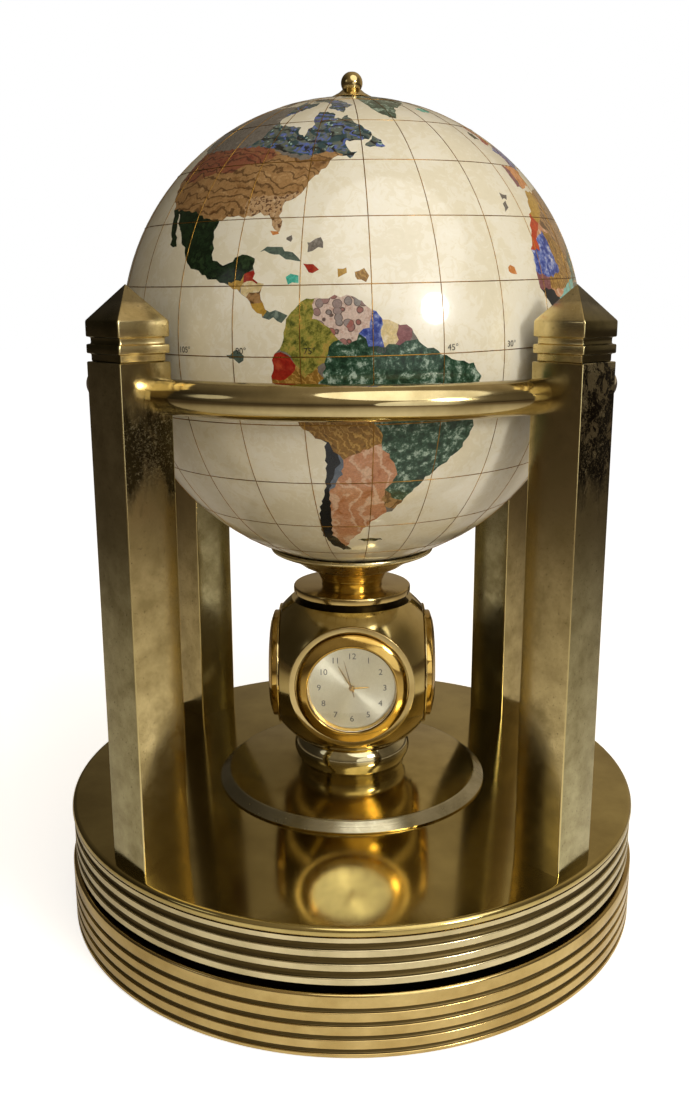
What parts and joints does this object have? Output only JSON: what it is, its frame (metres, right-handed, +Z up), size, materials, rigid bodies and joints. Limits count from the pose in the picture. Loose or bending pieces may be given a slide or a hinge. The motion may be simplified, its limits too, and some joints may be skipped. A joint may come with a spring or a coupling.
{
  "type": "globe clock",
  "caption": "Desk globe of inlaid stone on a turning grooved brass base, with square columns, a gallery ring and a cube that holds a clock, a thermometer and a hygrometer.",
  "frame": {"origin": "centre of the resting face, on the surface that the base stands on", "axes": "+Z up along the globe's axis, the clock faces -Y, +X is to the right as the clock is read"},
  "size_m": [0.2006, 0.2006, 0.2801],
  "materials": {
    "pale_brass": "polished, pale and slightly tarnished",
    "gold_brass": "polished, yellow gold",
    "warm_brass": "satin, warm gold",
    "steel": "zinc plated",
    "pearl_resin": "mother-of-pearl resin with stone inlay and brass wire, lacquered",
    "dial_metal": "sunburst brushed silver",
    "crystal": "clear",
    "band_rubber": "matte",
    "felt": "napped felt",
    "board": "bare fibreboard",
    "case_plastic": "moulded"
  },
  "bodies": {
    "lower_base": {"base_pad": "felt", "base_board": "board", "lower_drum": "gold_brass", "lower_race": "steel"},
    "ball_cage_body": {"ball_cage": "steel"},
    "turntable": {"upper_race": "steel", "centre_rivet": "steel", "upper_drum": "pale_brass", "top_plate": "pale_brass", "gallery_arc_front": "pale_brass", "gallery_arc_right": "pale_brass", "gallery_arc_rear": "pale_brass", "gallery_arc_left": "pale_brass", "column_shaft_front_left": "pale_brass", "column_cap_front_left": "pale_brass", "column_foot_front_left": "steel", "column_shaft_front_right": "pale_brass", "column_cap_front_right": "pale_brass", "column_foot_front_right": "steel", "column_shaft_rear_right": "pale_brass", "column_cap_rear_right": "pale_brass", "column_foot_rear_right": "steel", "column_shaft_rear_left": "pale_brass", "column_cap_rear_left": "pale_brass", "column_foot_rear_left": "steel", "pedestal_skirt": "pale_brass", "pedestal_collar": "pale_brass", "clock_cube": "pale_brass", "top_disc": "gold_brass", "neck_spool": "warm_brass", "globe_cup": "gold_brass", "axis_rod": "steel", "axis_nut": "steel", "finial": "pale_brass", "clock_ring": "pale_brass", "thermometer_ring": "pale_brass", "thermometer_bezel": "warm_brass", "thermometer_lens": "crystal", "thermometer_dial": "dial_metal", "thermometer_case": "case_plastic", "hygrometer_ring": "pale_brass", "hygrometer_bezel": "warm_brass", "hygrometer_lens": "crystal", "hygrometer_dial": "dial_metal", "hygrometer_case": "case_plastic"},
    "globe": {"globe_north": "pearl_resin", "globe_south": "pearl_resin", "globe_bush_north": "warm_brass", "globe_bush_south": "warm_brass"},
    "clock_insert": {"clock_bezel": "warm_brass", "clock_lens": "crystal", "clock_dial": "dial_metal", "clock_movement": "case_plastic", "clock_band": "band_rubber"},
    "setting_knob_body": {"setting_knob": "case_plastic"},
    "hour_hand_body": {"hour_hand": "warm_brass"},
    "minute_hand_body": {"minute_hand": "warm_brass"},
    "second_hand_body": {"second_hand": "warm_brass"},
    "thermometer_pointer_body": {"thermometer_pointer": "warm_brass"},
    "hygrometer_pointer_body": {"hygrometer_pointer": "warm_brass"}
  },
  "joints": [
    {"name": "turntable_spin", "type": "hinge", "parent": "lower_base", "child": "turntable", "pos_m": [0, 0, 0.0185], "axis": [0, 0, 1], "continuous": true},
    {"name": "ball_cage_roll", "type": "hinge", "parent": "lower_base", "child": "ball_cage_body", "pos_m": [0, 0, 0.0185], "axis": [0, 0, 1], "continuous": true},
    {"name": "globe_spin", "type": "hinge", "parent": "turntable", "child": "globe", "pos_m": [0, 0, 0.19705], "axis": [0, 0, 1], "continuous": true},
    {"name": "clock_insert_pull", "type": "slide", "parent": "turntable", "child": "clock_insert", "axis": [0, -1, 0], "range_m": [0, 0.03]},
    {"name": "setting_knob_turn", "type": "hinge", "parent": "clock_insert", "child": "setting_knob_body", "pos_m": [0, -0.0113, 0.0745], "axis": [0, 1, 0], "continuous": true},
    {"name": "minute_hand_turn", "type": "hinge", "parent": "clock_insert", "child": "minute_hand_body", "pos_m": [0, -0.0262, 0.083], "axis": [0, 1, 0], "continuous": true},
    {"name": "hour_hand_turn", "type": "hinge", "parent": "clock_insert", "child": "hour_hand_body", "pos_m": [0, -0.0257, 0.083], "axis": [0, 1, 0], "continuous": true},
    {"name": "second_hand_turn", "type": "hinge", "parent": "clock_insert", "child": "second_hand_body", "pos_m": [0, -0.0267, 0.083], "axis": [0, 1, 0], "continuous": true},
    {"name": "thermometer_pointer_turn", "type": "hinge", "parent": "turntable", "child": "thermometer_pointer_body", "pos_m": [0.0262, 0, 0.083], "axis": [-1, 0, 0], "range_deg": [-130, 110]},
    {"name": "hygrometer_pointer_turn", "type": "hinge", "parent": "turntable", "child": "hygrometer_pointer_body", "pos_m": [-0.0262, 0, 0.083], "axis": [1, 0, 0], "range_deg": [-105, 134]}
  ],
  "couplings": [
    {"joint": "ball_cage_roll", "follows": "turntable_spin", "ratio": 0.5},
    {"joint": "minute_hand_turn", "follows": "setting_knob_turn", "ratio": -1},
    {"joint": "hour_hand_turn", "follows": "setting_knob_turn", "ratio": -0.083333}
  ]
}
